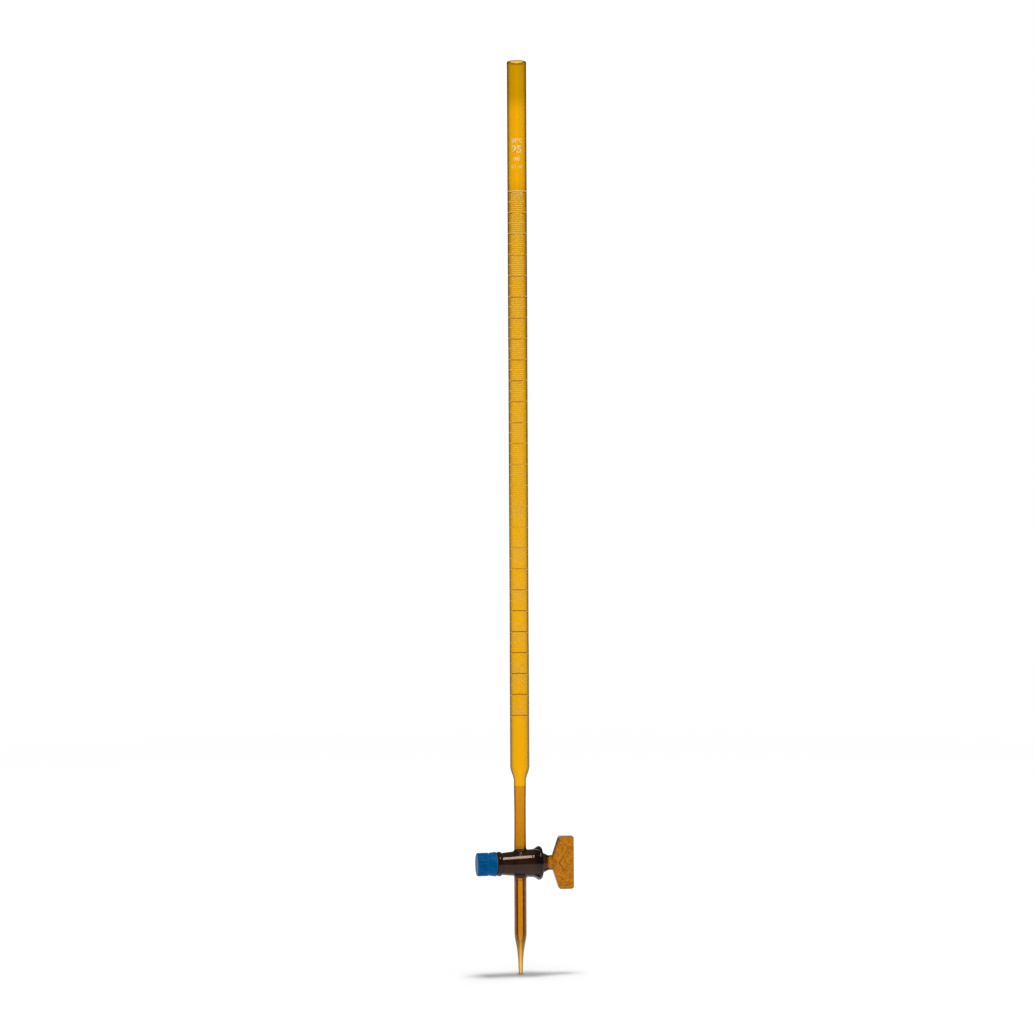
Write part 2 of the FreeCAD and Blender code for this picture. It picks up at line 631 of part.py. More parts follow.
def write_parts(bodies):
    """Checks every object of the document, then writes one STEP file for each body."""
    for item in doc.Objects:
        if "Invalid" in item.State or "Error" in item.State:
            raise RuntimeError("%s failed: %s" % (item.Label, item.State))
    for body in bodies:
        if body.Shape.isNull() or not body.Shape.isValid():
            raise RuntimeError("%s has no valid shape" % body.Label)
    os.makedirs("parts", exist_ok=True)
    for body in bodies:
        body.Shape.exportStep("parts/%s.step" % body.Label)
        print("%-18s %4d solids %12.3f mm3" % (body.Label, len(body.Shape.Solids), body.Shape.Volume))


write_parts(main())
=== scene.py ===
import math

import bmesh
import bpy
from mathutils import Matrix, Vector


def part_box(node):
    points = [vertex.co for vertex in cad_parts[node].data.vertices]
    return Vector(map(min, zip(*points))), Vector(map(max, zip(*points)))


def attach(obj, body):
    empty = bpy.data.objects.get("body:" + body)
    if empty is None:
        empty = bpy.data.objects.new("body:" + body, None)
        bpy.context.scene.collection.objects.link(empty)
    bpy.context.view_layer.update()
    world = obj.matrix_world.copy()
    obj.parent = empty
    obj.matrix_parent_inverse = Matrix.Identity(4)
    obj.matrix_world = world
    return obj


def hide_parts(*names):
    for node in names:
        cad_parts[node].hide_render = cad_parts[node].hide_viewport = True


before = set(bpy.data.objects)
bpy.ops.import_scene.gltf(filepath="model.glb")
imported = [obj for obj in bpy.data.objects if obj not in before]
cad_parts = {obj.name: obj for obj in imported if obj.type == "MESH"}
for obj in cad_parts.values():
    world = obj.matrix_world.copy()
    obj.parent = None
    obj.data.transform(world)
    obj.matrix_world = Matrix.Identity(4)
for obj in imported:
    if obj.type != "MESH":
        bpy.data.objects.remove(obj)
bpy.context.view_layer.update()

# Amber glass burette, in metres, in the part's own frame: +Z up the tube, +X towards the handle.

MM = 0.001

# What the frame says

TUBE_LOW, TUBE_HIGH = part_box("graduated_tube")
RINGS_LOW, RINGS_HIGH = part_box("one_ml_rings")
STEM_LOW, STEM_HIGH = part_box("inlet_stem")
BARREL_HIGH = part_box("stopcock_barrel")[1]
JET_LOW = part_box("jet_tube")[0]
PLUG_LOW, PLUG_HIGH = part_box("stopcock_plug")

# Sizes that the frame's boxes don't give

CAPACITY = 25
LINE_WIDTH = 0.3 * MM
LINE_SHOWN = 0.45 * MM
INK_DEPTH = 0.05 * MM
INK_GAP = 0.01 * MM
TUBE_WALL = 1.3 * MM
MOUTH_SWELL = 0.07 * MM
MOUTH_HEIGHT = 3.0 * MM
MOUTH_ROUND = 0.45 * MM
SHOULDER_HEIGHT = 9.6 * MM
SEAM_DROP = 3.2 * MM
STEM_BORE = 5.3 * MM
STEM_DIA = 7.75 * MM
DRAW_HEIGHT = 27.5 * MM
SPOUT_HEIGHT = 5.0 * MM
SCALE_TURN = math.radians(12)
HALF_TURN = math.radians(-8)
HALF_ARC = math.radians(112)
TENTH_ARC = math.radians(68)

# How finely curves are cut, how far round its half wave the mouth's swell runs, and the distance in
# metres under which letters' points are merged

TUBE_SEGMENTS = 128
RING_STEPS = 96
SHORTEST_STEPS = 10
SWELL_STEPS = 8
SWELL_SHARE = 0.8
LETTER_STEPS = 3
MERGE = 1e-7

# The print on the tube: its height over the zero ring, and each word's rise and cap height

NUMERAL_DROP = 1.6 * MM
NUMERAL_HEIGHT = 1.9 * MM
NUMERAL_TURN = math.radians(30)
LABEL_RISE = 26.4 * MM
LABEL_WORDS = [
    ("20°C", 5.6 * MM, 2.4 * MM),
    ("25", 0.0, 4.6 * MM),
    ("ml", -5.8 * MM, 3.0 * MM),
    ("0.1 ml", -11.0 * MM, 2.0 * MM),
]
CAP_SHARE = 0.7
STROKE_SPREAD = 0.02

# Where the glass changes colour, from the stopcock's axis or back from the end of a piece, and the V
# of painted shade along the handle's crease, whose two sides lean by its slope

ARM_AMBER = 8.9 * MM
ARM_BLEND = 0.3 * MM
FLANGE_DARK = 3.5 * MM
FLANGE_START = 6.0 * MM
NECK_AMBER = 16.9 * MM
NECK_DARK = 17.6 * MM
CREASE_START = 9.9 * MM
CREASE_SLOPE = 0.7
CREASE_HEIGHT = 4.4 * MM
CREASE_END = 5.2 * MM
CREASE_CORE = 0.3 * MM
CREASE_EDGE = 0.6 * MM

TUBE_OUTER = RINGS_HIGH.x - INK_DEPTH - INK_GAP
TUBE_INNER = TUBE_OUTER - TUBE_WALL
MOUTH_Z = TUBE_HIGH.z
SEAM_Z = TUBE_LOW.z
SHOULDER_Z = SEAM_Z + SEAM_DROP + SHOULDER_HEIGHT
ZERO_Z = RINGS_HIGH.z - LINE_WIDTH / 2
LAST_Z = RINGS_LOW.z + LINE_WIDTH / 2
ML_PITCH = (ZERO_Z - LAST_Z) / CAPACITY
AXIS_Z = (PLUG_LOW.z + PLUG_HIGH.z) / 2
FLOOR_Z = JET_LOW.z

# The photograph's view: pinhole camera level with the burette's middle, turned towards the nut's side

PHOTO_PIXELS = 1034
PIXEL = 0.6418 * MM
CAMERA_DISTANCE = 1.5
CAMERA_YAW = math.radians(9.7)
CAMERA_ROLL = math.radians(-0.272)
AXIS_OFFSET = 1.6 * PIXEL
VIEW_HEIGHT = (MOUTH_Z + FLOOR_Z) / 2 + 1.25 * PIXEL
SENSOR = 36.0

# Looks of the glass against a white background, linear, by how far the surface turns away. Their
# darkening towards the edges is painted shade for the dark studio seen through the glass edge on, and
# partly the longer path through the glass

TUBE_LOOK = [
    (0.00, (0.905, 0.429, 0.020)),
    (0.11, (0.890, 0.413, 0.019)),
    (0.20, (0.822, 0.391, 0.019)),
    (0.27, (0.742, 0.360, 0.020)),
    (0.37, (0.612, 0.298, 0.020)),
    (0.47, (0.400, 0.195, 0.012)),
    (0.58, (0.190, 0.082, 0.004)),
    (0.80, (0.100, 0.036, 0.002)),
]
STEM_LOOK = [
    (0.00, (0.660, 0.260, 0.006)),
    (0.28, (0.620, 0.235, 0.005)),
    (0.38, (0.250, 0.095, 0.003)),
    (0.50, (0.090, 0.028, 0.001)),
    (0.80, (0.070, 0.022, 0.001)),
]
JET_LOOK = [
    (0.00, (0.570, 0.200, 0.002)),
    (0.07, (0.560, 0.190, 0.002)),
    (0.10, (0.080, 0.014, 0.001)),
    (0.23, (0.080, 0.016, 0.001)),
    (0.29, (0.160, 0.072, 0.020)),
    (0.56, (0.190, 0.088, 0.028)),
    (0.70, (0.110, 0.052, 0.018)),
]
DRAWN_LOOK = [
    (0.00, (0.950, 0.600, 0.150)),
    (0.10, (0.820, 0.450, 0.070)),
    (0.30, (0.420, 0.210, 0.030)),
    (0.60, (0.190, 0.090, 0.010)),
]
PRESSED_LOOK = [
    (0.00, (0.540, 0.190, 0.002)),
    (0.20, (0.460, 0.160, 0.002)),
    (0.45, (0.260, 0.080, 0.003)),
    (0.80, (0.100, 0.030, 0.002)),
]

# The far wall's share of a tube's look, along the tube, at the mouth and at the rim

FAR_WALL = (0.93, 0.72, 0.22)
FAR_MOUTH = (0.65, 0.48, 0.014)
FAR_RIM = (0.30, 0.17, 0.005)

# Plain colours

DEEP_AMBER = (0.05, 0.02, 0.006)
# Painted shade for the handle's crease
CREASE_SHADE = (0.20, 0.070, 0.002)
FLANGE_COLOUR = (0.004, 0.002, 0.001)
CLEAR = (1.0, 1.0, 1.0)

# The studio: what the sky gives to surfaces and to reflections, and the floor's own glow for the camera
# and through glass, by distance from the burette in metres

DIFFUSE_SKY = 0.36
GLOSSY_SKY = 0.14
FLOOR_SIZE = 60
FLOOR_DROP = 0.05 * MM
GLOW_REACH = 4.0
FLOOR_GLOW = [(0.03, 0.0), (0.3, 0.08), (0.6, 0.2), (1.0, 0.35), (2.0, 0.58), (4.0, 0.72)]


def revolve(name, profile, segments=TUBE_SEGMENTS):
    """A closed mesh turned about the tube's axis from (radius, height) points."""
    mesh = bpy.data.meshes.new(name)
    bm = bmesh.new()
    rings = []
    for step in range(segments):
        angle = 2 * math.pi * step / segments
        across = Vector((math.cos(angle), math.sin(angle), 0))
        rings.append([bm.verts.new(across * radius + Vector((0, 0, height))) for radius, height in profile])
    for step in range(segments):
        here, there = rings[step], rings[(step + 1) % segments]
        for number in range(len(profile)):
            following = (number + 1) % len(profile)
            bm.faces.new((here[number], there[number], there[following], here[following]))
    bmesh.ops.recalc_face_normals(bm, faces=bm.faces)
    bm.to_mesh(mesh)
    bm.free()
    return finish_mesh(name, mesh)


def finish_mesh(name, mesh, crease=40):
    """A smooth-shaded object of the mesh, sharp where its faces turn by more than the crease."""
    for face in mesh.polygons:
        face.use_smooth = True
    mesh.set_sharp_from_angle(angle=math.radians(crease))
    piece = bpy.data.objects.new(name, mesh)
    bpy.context.scene.collection.objects.link(piece)
    return piece


def s_curve(start, end, steps=14):
    """Points of a smooth S from start to end, both (radius, height), upright at both ends."""
    points = []
    for step in range(1, steps):
        share = step / steps
        blend = share * share * (3 - 2 * share)
        points.append((start[0] + (end[0] - start[0]) * blend, start[1] + (end[1] - start[1]) * share))
    return points


def arc(centre, radius, first, last, steps=6):
    """Points of an arc in the (radius, height) plane, from first to last in degrees."""
    points = []
    for step in range(steps + 1):
        angle = math.radians(first + (last - first) * step / steps)
        points.append((centre[0] + radius * math.cos(angle), centre[1] + radius * math.sin(angle)))
    return points


def graduated_tube():
    """The measuring tube: outer wall up, over the rounded mouth, and the bore down."""
    stem_outer, stem_inner = STEM_DIA / 2, STEM_BORE / 2
    foot = SHOULDER_Z - SHOULDER_HEIGHT
    swell = []
    for step in range(SWELL_STEPS + 1):
        share = step / SWELL_STEPS
        swell.append((TUBE_OUTER + MOUTH_SWELL * math.sin(math.pi * share * SWELL_SHARE),
                      MOUTH_Z - MOUTH_HEIGHT + (MOUTH_HEIGHT - MOUTH_ROUND) * share))
    outer_corner = arc((swell[-1][0] - MOUTH_ROUND, MOUTH_Z - MOUTH_ROUND), MOUTH_ROUND, 0, 90)
    inner_corner = arc((TUBE_INNER + MOUTH_ROUND, MOUTH_Z - MOUTH_ROUND), MOUTH_ROUND, 90, 180)
    profile = [(stem_outer, SEAM_Z), (stem_outer, foot)]
    profile += s_curve((stem_outer, foot), (TUBE_OUTER, SHOULDER_Z))
    profile += [(TUBE_OUTER, SHOULDER_Z)] + swell + outer_corner[1:] + inner_corner
    profile += [(TUBE_INNER, SHOULDER_Z)]
    profile += s_curve((TUBE_INNER, SHOULDER_Z), (stem_inner, foot))
    profile += [(stem_inner, foot), (stem_inner, SEAM_Z)]
    return revolve("measuring_tube", profile)


def lines(name, heights, middle, sweep):
    """Raised enamel lines on the tube at these heights. middle is turned from -Y towards -X."""
    inner = TUBE_OUTER + INK_GAP
    outer = inner + INK_DEPTH
    full = math.isclose(sweep, math.tau)
    steps = RING_STEPS if full else max(SHORTEST_STEPS, int(RING_STEPS * sweep / math.tau))
    bm = bmesh.new()
    for height in heights:
        low, high = height - LINE_SHOWN / 2, height + LINE_SHOWN / 2
        rings = []
        for step in range(steps if full else steps + 1):
            angle = -math.pi / 2 - middle - sweep / 2 + sweep * step / steps
            way = Vector((math.cos(angle), math.sin(angle), 0))
            corners = ((inner, low), (outer, low), (outer, high), (inner, high))
            rings.append([bm.verts.new(way * radius + Vector((0, 0, z))) for radius, z in corners])
        for step in range(steps):
            here, there = rings[step], rings[(step + 1) % len(rings)]
            for number in range(4):
                following = (number + 1) % 4
                bm.faces.new((here[number], there[number], there[following], here[following]))
        if not full:
            bm.faces.new(rings[0])
            bm.faces.new(rings[-1][::-1])
    bmesh.ops.recalc_face_normals(bm, faces=bm.faces)
    mesh = bpy.data.meshes.new(name)
    bm.to_mesh(mesh)
    bm.free()
    return finish_mesh(name, mesh)


def lettering(name, words):
    """Enamel numerals wrapped round the tube. A word is (text, height, cap height, turn)."""
    bm = bmesh.new()
    lift = TUBE_OUTER + INK_GAP
    for text, height, size, turned in words:
        curve = bpy.data.curves.new(name + "_text", "FONT")
        curve.body = text
        curve.align_x = "CENTER"
        curve.align_y = "CENTER"
        curve.size = size / CAP_SHARE
        curve.extrude = INK_DEPTH / 2
        curve.offset = size * STROKE_SPREAD
        curve.resolution_u = LETTER_STEPS
        flat = bpy.data.objects.new(name + "_text", curve)
        mesh = bpy.data.meshes.new_from_object(flat)
        for vertex in mesh.vertices:
            angle = -math.pi / 2 - turned + vertex.co.x / TUBE_OUTER
            radius = lift + INK_DEPTH / 2 + vertex.co.z
            vertex.co = (radius * math.cos(angle), radius * math.sin(angle), height + vertex.co.y)
        bm.from_mesh(mesh)
        bpy.data.objects.remove(flat)
        bpy.data.curves.remove(curve)
        bpy.data.meshes.remove(mesh)
    bmesh.ops.remove_doubles(bm, verts=bm.verts, dist=MERGE)
    bmesh.ops.recalc_face_normals(bm, faces=bm.faces)
    mesh = bpy.data.meshes.new(name)
    bm.to_mesh(mesh)
    bm.free()
    piece = bpy.data.objects.new(name, mesh)
    bpy.context.scene.collection.objects.link(piece)
    return piece


# Materials

def new_material(name):
    material = bpy.data.materials.new(name)
    material.use_nodes = True
    tree = material.node_tree
    return material, tree, tree.nodes["Principled BSDF"]


def ramp(tree, source, stops):
    """The colour that the stops, (share, colour) pairs, give for the source."""
    node = tree.nodes.new("ShaderNodeValToRGB")
    elements = node.color_ramp.elements
    while len(elements) < len(stops):
        elements.new(0.5)
    for element, (share, colour) in zip(elements, stops):
        element.position = share
        element.color = (*colour, 1.0)
    tree.links.new(source, node.inputs["Fac"])
    return node.outputs["Color"]


def noise(tree, scale, detail=2.0, stretch=(1, 1, 1)):
    """Clouds about 1 / scale metres wide."""
    coordinates = tree.nodes.new("ShaderNodeTexCoord")
    mapping = tree.nodes.new("ShaderNodeMapping")
    mapping.inputs["Scale"].default_value = stretch
    tree.links.new(coordinates.outputs["Object"], mapping.inputs["Vector"])
    node = tree.nodes.new("ShaderNodeTexNoise")
    node.inputs["Scale"].default_value = scale
    node.inputs["Detail"].default_value = detail
    tree.links.new(mapping.outputs["Vector"], node.inputs["Vector"])
    return node.outputs["Fac"]


def bump(tree, shader, height, strength, distance):
    node = tree.nodes.new("ShaderNodeBump")
    node.inputs["Strength"].default_value = strength
    node.inputs["Distance"].default_value = distance
    tree.links.new(height, node.inputs["Height"])
    tree.links.new(node.outputs["Normal"], shader.inputs["Normal"])


def mix(tree, factor, first, second, blend="MIX"):
    """A colour mix. Each source is a socket, a number or a colour."""
    node = tree.nodes.new("ShaderNodeMix")
    node.data_type = "RGBA"
    node.blend_type = blend
    for index, source in ((0, factor), (6, first), (7, second)):
        if isinstance(source, (int, float)):
            node.inputs[index].default_value = source
        elif isinstance(source, tuple):
            node.inputs[index].default_value = (*source, 1.0)
        else:
            tree.links.new(source, node.inputs[index])
    return node.outputs[2]


def calculate(tree, operation, first, second):
    """The result of one step of arithmetic. Each source is a socket or a number."""
    node = tree.nodes.new("ShaderNodeMath")
    node.operation = operation
    for socket, source in zip(node.inputs, (first, second)):
        if isinstance(source, (int, float)):
            socket.default_value = source
        else:
            tree.links.new(source, socket)
    return node.outputs[0]


def place(tree):
    """The surface's own x, y and z, in the frame at rest."""
    coordinates = tree.nodes.new("ShaderNodeTexCoord")
    parts = tree.nodes.new("ShaderNodeSeparateXYZ")
    tree.links.new(coordinates.outputs["Object"], parts.inputs[0])
    return parts.outputs


def between(tree, source, low, high):
    """0 below low, 1 above high, and a straight slope between them. High may be the smaller."""
    node = tree.nodes.new("ShaderNodeMapRange")
    node.inputs["From Min"].default_value = low
    node.inputs["From Max"].default_value = high
    tree.links.new(source, node.inputs["Value"])
    return node.outputs[0]


def hypotenuse(tree, first, second):
    """Root of the sum of two squares."""
    first_square = calculate(tree, "MULTIPLY", first, first)
    second_square = calculate(tree, "MULTIPLY", second, second)
    return calculate(tree, "POWER", calculate(tree, "ADD", first_square, second_square), 0.5)


def facing(tree):
    """0 where the surface faces the viewer, 1 where it is seen edge on."""
    node = tree.nodes.new("ShaderNodeLayerWeight")
    node.inputs["Blend"].default_value = 0.5
    return node.outputs["Facing"]


def see_through(name, roughness=0.02, ior=1.47):
    material, tree, shader = new_material(name)
    shader.inputs["Transmission Weight"].default_value = 1.0
    shader.inputs["Roughness"].default_value = roughness
    shader.inputs["IOR"].default_value = ior
    return material, tree, shader


def entering(tree):
    """1 where light comes into the solid, 0 where it leaves."""
    geometry = tree.nodes.new("ShaderNodeNewGeometry")
    return calculate(tree, "SUBTRACT", 1.0, geometry.outputs["Backfacing"])


def outer_wall(tree):
    """1 on a tube's outer wall, 0 in its bore, whichever way light crosses it."""
    geometry = tree.nodes.new("ShaderNodeNewGeometry")
    across = tree.nodes.new("ShaderNodeVectorMath")
    across.operation = "MULTIPLY"
    across.inputs[1].default_value = (1, 1, 0)
    tree.links.new(geometry.outputs["Position"], across.inputs[0])
    outward = tree.nodes.new("ShaderNodeVectorMath")
    outward.operation = "DOT_PRODUCT"
    tree.links.new(across.outputs["Vector"], outward.inputs[0])
    tree.links.new(geometry.outputs["Normal"], outward.inputs[1])
    side = calculate(tree, "SUBTRACT", entering(tree), 0.5)
    return calculate(tree, "GREATER_THAN", calculate(tree, "MULTIPLY", outward.outputs["Value"], side), 0.0)


def root_colour(tree, look, far=CLEAR):
    """What a glass shader needs to show the look, less the far wall's share: it shows colour's root."""
    near = mix(tree, 1.0, look, far, "DIVIDE")
    return mix(tree, 1.0, near, near, "MULTIPLY")


def tube_tint(tree, look, far=FAR_WALL):
    """The look, shared out between a tube's near wall, where light enters, and its far wall."""
    walls = mix(tree, entering(tree), root_colour(tree, far), root_colour(tree, look, far))
    return mix(tree, outer_wall(tree), CLEAR, walls)


def amber_glass():
    """The measuring tube: deeper at the mouth and a little paler in the middle of the scale."""
    material, tree, shader = see_through("amber_glass")
    shader.inputs["Specular Tint"].default_value = (0.75, 0.45, 0.06, 1.0)
    height = between(tree, place(tree)["Z"], SEAM_Z, MOUTH_Z)
    along = ramp(tree, height, [
        (0.05, (0.96, 0.95, 0.10)),
        (0.30, (0.94, 0.96, 0.35)),
        (0.52, (0.86, 0.90, 0.45)),
        (0.70, (0.80, 0.80, 0.40)),
        (0.815, (0.74, 0.72, 0.35)),
        (0.835, (0.94, 0.93, 0.20)),
        (0.935, (0.93, 0.93, 0.15)),
        (0.955, (0.68, 0.69, 0.05)),
        (0.9968, (0.68, 0.69, 0.05)),
        (0.9980, (0.22, 0.13, 0.03)),
    ])
    far = ramp(tree, height, [(0.935, FAR_WALL), (0.955, FAR_MOUTH), (0.9972, FAR_MOUTH), (0.9984, FAR_RIM)])
    look = mix(tree, 1.0, ramp(tree, facing(tree), TUBE_LOOK), along, "MULTIPLY")
    tree.links.new(tube_tint(tree, look, far), shader.inputs["Base Color"])
    bump(tree, shader, noise(tree, scale=60, stretch=(1, 1, 0.12)), strength=0.08, distance=0.2 * MM)
    return material


def stem_look(tree):
    """The stem, deeper towards the stopcock."""
    height = between(tree, place(tree)["Z"], STEM_LOW.z, STEM_HIGH.z)
    along = ramp(tree, height, [(0.0, (0.66, 0.66, 0.6)), (0.4, (0.86, 0.80, 0.7)), (1.0, (1.0, 1.0, 1.0))])
    return mix(tree, 1.0, ramp(tree, facing(tree), STEM_LOOK), along, "MULTIPLY")


def stem_glass():
    material, tree, shader = see_through("stem_glass")
    shader.inputs["Specular Tint"].default_value = (0.6, 0.3, 0.05, 1.0)
    tree.links.new(tube_tint(tree, stem_look(tree)), shader.inputs["Base Color"])
    bump(tree, shader, noise(tree, scale=90, stretch=(1, 1, 0.2)), strength=0.12, distance=0.2 * MM)
    return material


def jet_look(tree):
    """The thick jet: a clear core between two dark lines of painted shade, paler where it is drawn out."""
    _, _, z = place(tree)
    paler = between(tree, z, FLOOR_Z + DRAW_HEIGHT, FLOOR_Z + SPOUT_HEIGHT)
    return mix(tree, paler, ramp(tree, facing(tree), JET_LOOK), ramp(tree, facing(tree), DRAWN_LOOK))


def jet_glass():
    material, tree, shader = see_through("jet_glass")
    shader.inputs["Specular Tint"].default_value = (0.6, 0.35, 0.12, 1.0)
    tree.links.new(tube_tint(tree, jet_look(tree)), shader.inputs["Base Color"])
    bump(tree, shader, noise(tree, scale=90, stretch=(1, 1, 0.2)), strength=0.12, distance=0.2 * MM)
    return material


def barrel_glass():
    """Thick dark glass, with the amber of the stem and the jet at the ends of its two arms."""
    material, tree, shader = see_through("barrel_glass", roughness=0.04, ior=1.5)
    shader.inputs["Specular Tint"].default_value = (0.85, 0.64, 0.55, 1.0)
    x, _, z = place(tree)
    upper = between(tree, z, AXIS_Z + ARM_AMBER, AXIS_Z + ARM_AMBER + ARM_BLEND)
    lower = between(tree, z, AXIS_Z - ARM_AMBER, AXIS_Z - ARM_AMBER - ARM_BLEND)
    stops = [(0.35, (0.014, 0.004, 0.001)), (0.70, (0.040, 0.014, 0.005))]
    depth = ramp(tree, noise(tree, scale=160, detail=3.0), stops)
    flange = between(tree, x, BARREL_HIGH.x - FLANGE_START, BARREL_HIGH.x - FLANGE_DARK)
    depth = mix(tree, flange, depth, FLANGE_COLOUR)
    look = mix(tree, upper, depth, tube_tint(tree, stem_look(tree)))
    look = mix(tree, lower, look, tube_tint(tree, jet_look(tree)))
    tree.links.new(look, shader.inputs["Base Color"])
    arms = calculate(tree, "MAXIMUM", upper, lower)
    clear = calculate(tree, "MULTIPLY", noise(tree, scale=110), 0.5)
    tree.links.new(calculate(tree, "MAXIMUM", arms, clear), shader.inputs["Transmission Weight"])
    bump(tree, shader, noise(tree, scale=140, detail=3.0), strength=0.05, distance=0.3 * MM)
    return material


def handle_crease(tree, x, z):
    """1 along the V of painted shade where the neck's round runs out in the flat of the handle."""
    height = calculate(tree, "ABSOLUTE", calculate(tree, "SUBTRACT", z, AXIS_Z), 0.0)
    slope = calculate(tree, "MULTIPLY", height, CREASE_SLOPE)
    line_x = calculate(tree, "ADD", slope, PLUG_HIGH.x - CREASE_START)
    away = calculate(tree, "ABSOLUTE", calculate(tree, "SUBTRACT", x, line_x), 0.0)
    line = between(tree, away, CREASE_EDGE, CREASE_CORE)
    ends = between(tree, height, CREASE_END, CREASE_HEIGHT)
    return calculate(tree, "MULTIPLY", line, ends)


def pressed_glass():
    """The plug: mottled pressed amber in the handle, with painted shade along its crease, dark inside the
    stopcock and up to its neck.
    """
    material, tree, shader = see_through("pressed_glass", roughness=0.08, ior=1.5)
    shader.inputs["Specular Tint"].default_value = (0.90, 0.66, 0.25, 1.0)
    x, _, z = place(tree)
    stops = [(0.36, (0.55, 0.48, 0.40)), (0.60, (0.93, 0.90, 0.85))]
    cloud = ramp(tree, noise(tree, scale=700, detail=4.0), stops)
    look = mix(tree, 1.0, ramp(tree, facing(tree), PRESSED_LOOK), cloud, "MULTIPLY")
    # Painted shade along the V of the handle's crease
    look = mix(tree, handle_crease(tree, x, z), look, CREASE_SHADE)
    inner = between(tree, x, PLUG_HIGH.x - NECK_AMBER, PLUG_HIGH.x - NECK_DARK)
    look = root_colour(tree, mix(tree, inner, look, DEEP_AMBER))
    tree.links.new(mix(tree, entering(tree), CLEAR, look), shader.inputs["Base Color"])
    bump(tree, shader, noise(tree, scale=420, detail=4.0), strength=0.15, distance=0.4 * MM)
    return material


def enamel():
    """Enamel of one colour with painted light: paler at the top of the scale and browner towards its foot,
    as the light falls off down the tube; a little worn.
    """
    material, tree, shader = new_material("scale_enamel")
    height = between(tree, place(tree)["Z"], LAST_Z, MOUTH_Z)
    # Painted light and shade: paler high on the scale, browner low down
    stops = [(0.0, (0.80, 0.42, 0.008)), (0.5, (1.0, 0.55, 0.035)), (0.78, (1.0, 0.62, 0.07)),
             (0.86, (1.0, 0.78, 0.48))]
    worn = ramp(tree, noise(tree, scale=500), [(0.30, (0.90, 0.85, 0.8)), (0.55, (1.0, 1.0, 1.0))])
    colour = mix(tree, 1.0, ramp(tree, height, stops), worn, "MULTIPLY")
    tree.links.new(colour, shader.inputs["Base Color"])
    shader.inputs["Roughness"].default_value = 0.5
    return material


def blue_plastic():
    material, tree, shader = new_material("blue_plastic")
    stops = [(0.35, (0.000, 0.066, 0.205)), (0.65, (0.000, 0.098, 0.295))]
    tree.links.new(ramp(tree, noise(tree, scale=260, detail=3.0), stops), shader.inputs["Base Color"])
    shader.inputs["Roughness"].default_value = 0.38
    shader.inputs["Specular IOR Level"].default_value = 0.1
    shader.inputs["Specular Tint"].default_value = (0.35, 0.65, 1.0, 1.0)
    bump(tree, shader, noise(tree, scale=1500), strength=0.10, distance=0.1 * MM)
    return material


def white_ptfe():
    material, tree, shader = new_material("white_ptfe")
    stops = [(0.3, (0.80, 0.80, 0.78)), (0.7, (0.90, 0.90, 0.88))]
    tree.links.new(ramp(tree, noise(tree, scale=500, detail=3.0), stops), shader.inputs["Base Color"])
    shader.inputs["Roughness"].default_value = 0.4
    return material


def black_rubber():
    material, tree, shader = new_material("black_rubber")
    stops = [(0.3, (0.012, 0.012, 0.012)), (0.7, (0.025, 0.025, 0.025))]
    tree.links.new(ramp(tree, noise(tree, scale=700, detail=3.0), stops), shader.inputs["Base Color"])
    shader.inputs["Roughness"].default_value = 0.6
    return material


def dress(piece, material):
    piece.data.materials.clear()
    piece.data.materials.append(material)


def smooth_node(name, material, crease=35):
    """A CAD node that keeps its shape: smooth shading and a better material."""
    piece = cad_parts[name]
    for face in piece.data.polygons:
        face.use_smooth = True
    piece.data.set_sharp_from_angle(angle=math.radians(crease))
    dress(piece, material)


# Studio

def seen_by_camera(tree):
    """1 for what the camera sees directly or through glass, 0 for light and reflections."""
    path = tree.nodes.new("ShaderNodeLightPath")
    return calculate(tree, "MAXIMUM", path.outputs["Is Camera Ray"], path.outputs["Is Transmission Ray"])


def sky():
    """White for the camera and through glass, and dimmer as a light and in reflections."""
    world = bpy.data.worlds.new("studio")
    world.use_nodes = True
    tree = world.node_tree
    background = tree.nodes["Background"]
    background.inputs["Color"].default_value = (*CLEAR, 1.0)
    path = tree.nodes.new("ShaderNodeLightPath")
    loss = calculate(tree, "MULTIPLY", path.outputs["Is Glossy Ray"], DIFFUSE_SKY - GLOSSY_SKY)
    dimmed = calculate(tree, "SUBTRACT", DIFFUSE_SKY, loss)
    strength = calculate(tree, "MAXIMUM", seen_by_camera(tree), dimmed)
    tree.links.new(strength, background.inputs["Strength"])
    bpy.context.scene.world = world


def pale_floor():
    """A pale floor that keeps the shadow near the burette and turns white with distance."""
    bpy.ops.mesh.primitive_plane_add(size=FLOOR_SIZE, location=(0, 0, FLOOR_Z - FLOOR_DROP))
    floor = bpy.context.object
    floor.name = "floor"
    material, tree, shader = new_material("floor_pale")
    shader.inputs["Base Color"].default_value = (0.9, 0.9, 0.9, 1)
    shader.inputs["Roughness"].default_value = 0.9
    shader.inputs["Specular IOR Level"].default_value = 0.0
    x, y, _ = place(tree)
    stops = [(away / GLOW_REACH, (level, level, level)) for away, level in FLOOR_GLOW]
    glow = ramp(tree, between(tree, hypotenuse(tree, x, y), 0.0, GLOW_REACH), stops)
    tree.links.new(glow, shader.inputs["Emission Color"])
    tree.links.new(seen_by_camera(tree), shader.inputs["Emission Strength"])
    dress(floor, material)


def lamp(name, offset, size, power, mirrored=True, lights=True):
    """A lamp aimed at the stopcock. It shows in reflections if mirrored and lights surfaces if lights."""
    light = bpy.data.lights.new(name, "AREA")
    light.shape = "RECTANGLE"
    light.size, light.size_y = size
    light.energy = power
    holder = bpy.data.objects.new(name, light)
    holder.location = Vector((0, 0, AXIS_Z)) + Vector(offset)
    holder.rotation_euler = (-Vector(offset)).to_track_quat("-Z", "Y").to_euler()
    holder.visible_glossy = mirrored
    holder.visible_diffuse = lights
    holder.visible_transmission = lights
    bpy.context.scene.collection.objects.link(holder)


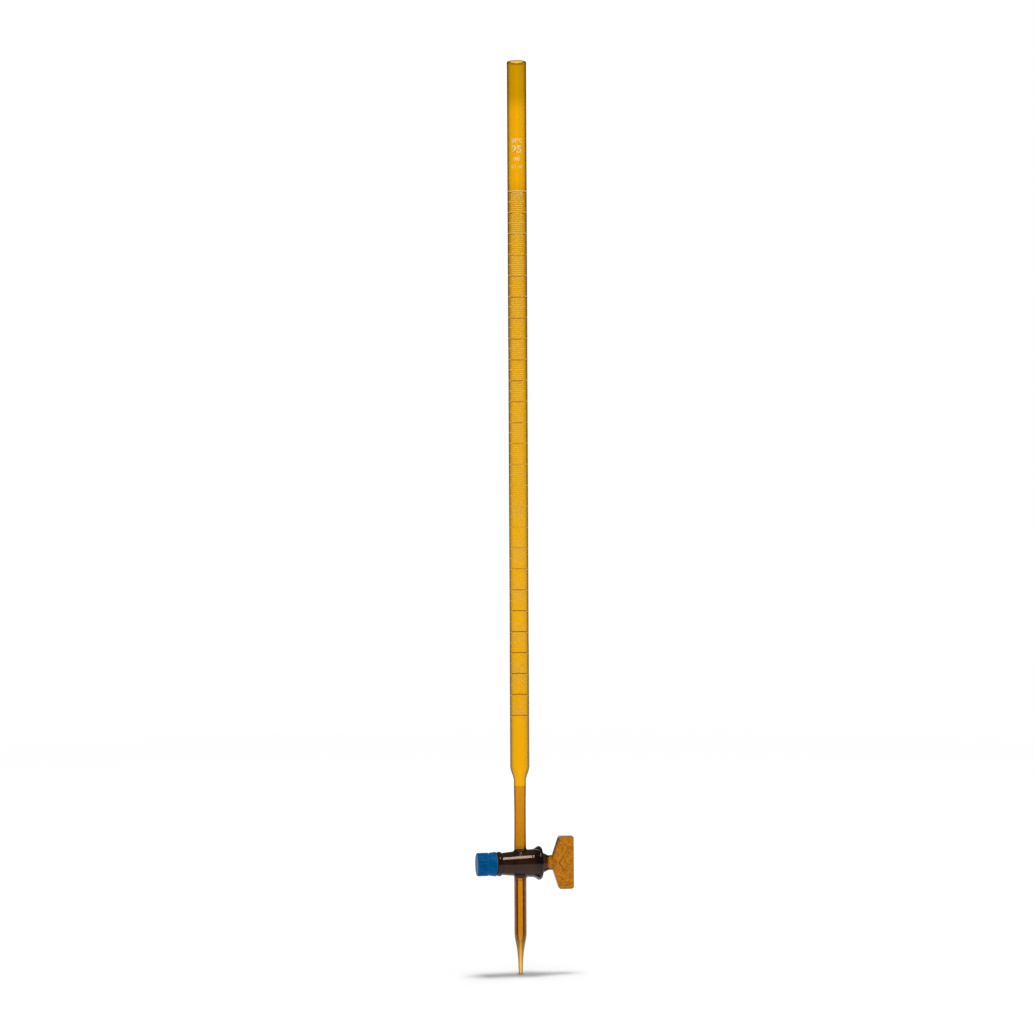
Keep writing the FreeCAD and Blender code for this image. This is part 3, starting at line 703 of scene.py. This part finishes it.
def lamps():
    """Light from above and from the front, a strip for the gloss, and a panel for what is seen edge on."""
    lamp("top_light", (0.01, 0.0, 1.5), size=(0.24, 0.36), power=17, mirrored=False)
    lamp("front_fill", (-0.4, -2.0, 1.2), size=(1.6, 1.2), power=14, mirrored=False)
    lamp("front_light", (-0.03, -0.67, 1.34), size=(0.34, 0.6), power=8, lights=False)
    lamp("back_panel", (0.25, 1.48, 0.24), size=(1.2, 0.4), power=1.6, lights=False)


def camera():
    """The photograph's viewpoint, with the burette's axis beside the middle of the picture."""
    forward = Vector((math.sin(CAMERA_YAW), math.cos(CAMERA_YAW), 0))
    right = Vector((math.cos(CAMERA_YAW), -math.sin(CAMERA_YAW), 0))
    spot = Vector((0, 0, VIEW_HEIGHT)) - forward * CAMERA_DISTANCE - right * AXIS_OFFSET
    turn = Matrix((right, Vector((0, 0, 1)), -forward)).transposed().to_4x4()
    data = bpy.data.cameras.new("photo_camera")
    data.sensor_width = SENSOR
    data.lens = SENSOR * CAMERA_DISTANCE / (PIXEL * PHOTO_PIXELS)
    data.clip_start = 0.01
    viewer = bpy.data.objects.new("photo_camera", data)
    viewer.matrix_world = Matrix.Translation(spot) @ turn @ Matrix.Rotation(CAMERA_ROLL, 4, "Z")
    bpy.context.scene.collection.objects.link(viewer)
    bpy.context.scene.camera = viewer


def dress_tube():
    """The measuring tube with its scale and its print, in place of their plain nodes."""
    ink = enamel()
    tube = graduated_tube()
    dress(tube, amber_glass())
    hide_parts("graduated_tube")

    whole = [ZERO_Z - ML_PITCH * number for number in range(CAPACITY + 1)]
    halves = [height - ML_PITCH / 2 for height in whole[:-1]]
    tenths = [height - ML_PITCH * step / 10 for height in whole[:-1] for step in (1, 2, 3, 4, 6, 7, 8, 9)]
    front = SCALE_TURN
    groups = [
        (lines("ring_enamel", whole, front, math.tau), "one_ml_rings"),
        (lines("half_enamel", halves, front - HALF_TURN, HALF_ARC), "half_ml_lines"),
        (lines("tenth_enamel", tenths, front, TENTH_ARC), "tenth_ml_lines"),
    ]
    for piece, node in groups:
        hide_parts(node)
    numerals = [(str(number), height - NUMERAL_DROP, NUMERAL_HEIGHT, front - NUMERAL_TURN)
                for number, height in enumerate(whole)]
    words = [(text, ZERO_Z + LABEL_RISE + rise, size, front) for text, rise, size in LABEL_WORDS]
    pieces = [piece for piece, _ in groups]
    pieces += [lettering("scale_numerals", numerals), lettering("capacity_mark", words)]
    for piece in pieces:
        dress(piece, ink)
        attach(piece, "glass_body")
    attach(tube, "glass_body")


def dress_nodes():
    """The pieces whose shape stays as it is."""
    smooth_node("inlet_stem", stem_glass())
    smooth_node("jet_tube", jet_glass())
    smooth_node("stopcock_barrel", barrel_glass())
    smooth_node("stopcock_plug", pressed_glass())
    blue = blue_plastic()
    smooth_node("thrust_collar", blue)
    smooth_node("retaining_nut", blue)
    smooth_node("sealing_washer", white_ptfe())
    smooth_node("elastic_ring", black_rubber())


def main():
    bpy.context.scene.view_settings.view_transform = "Standard"
    sky()
    pale_floor()
    lamps()
    camera()
    dress_tube()
    dress_nodes()


main()
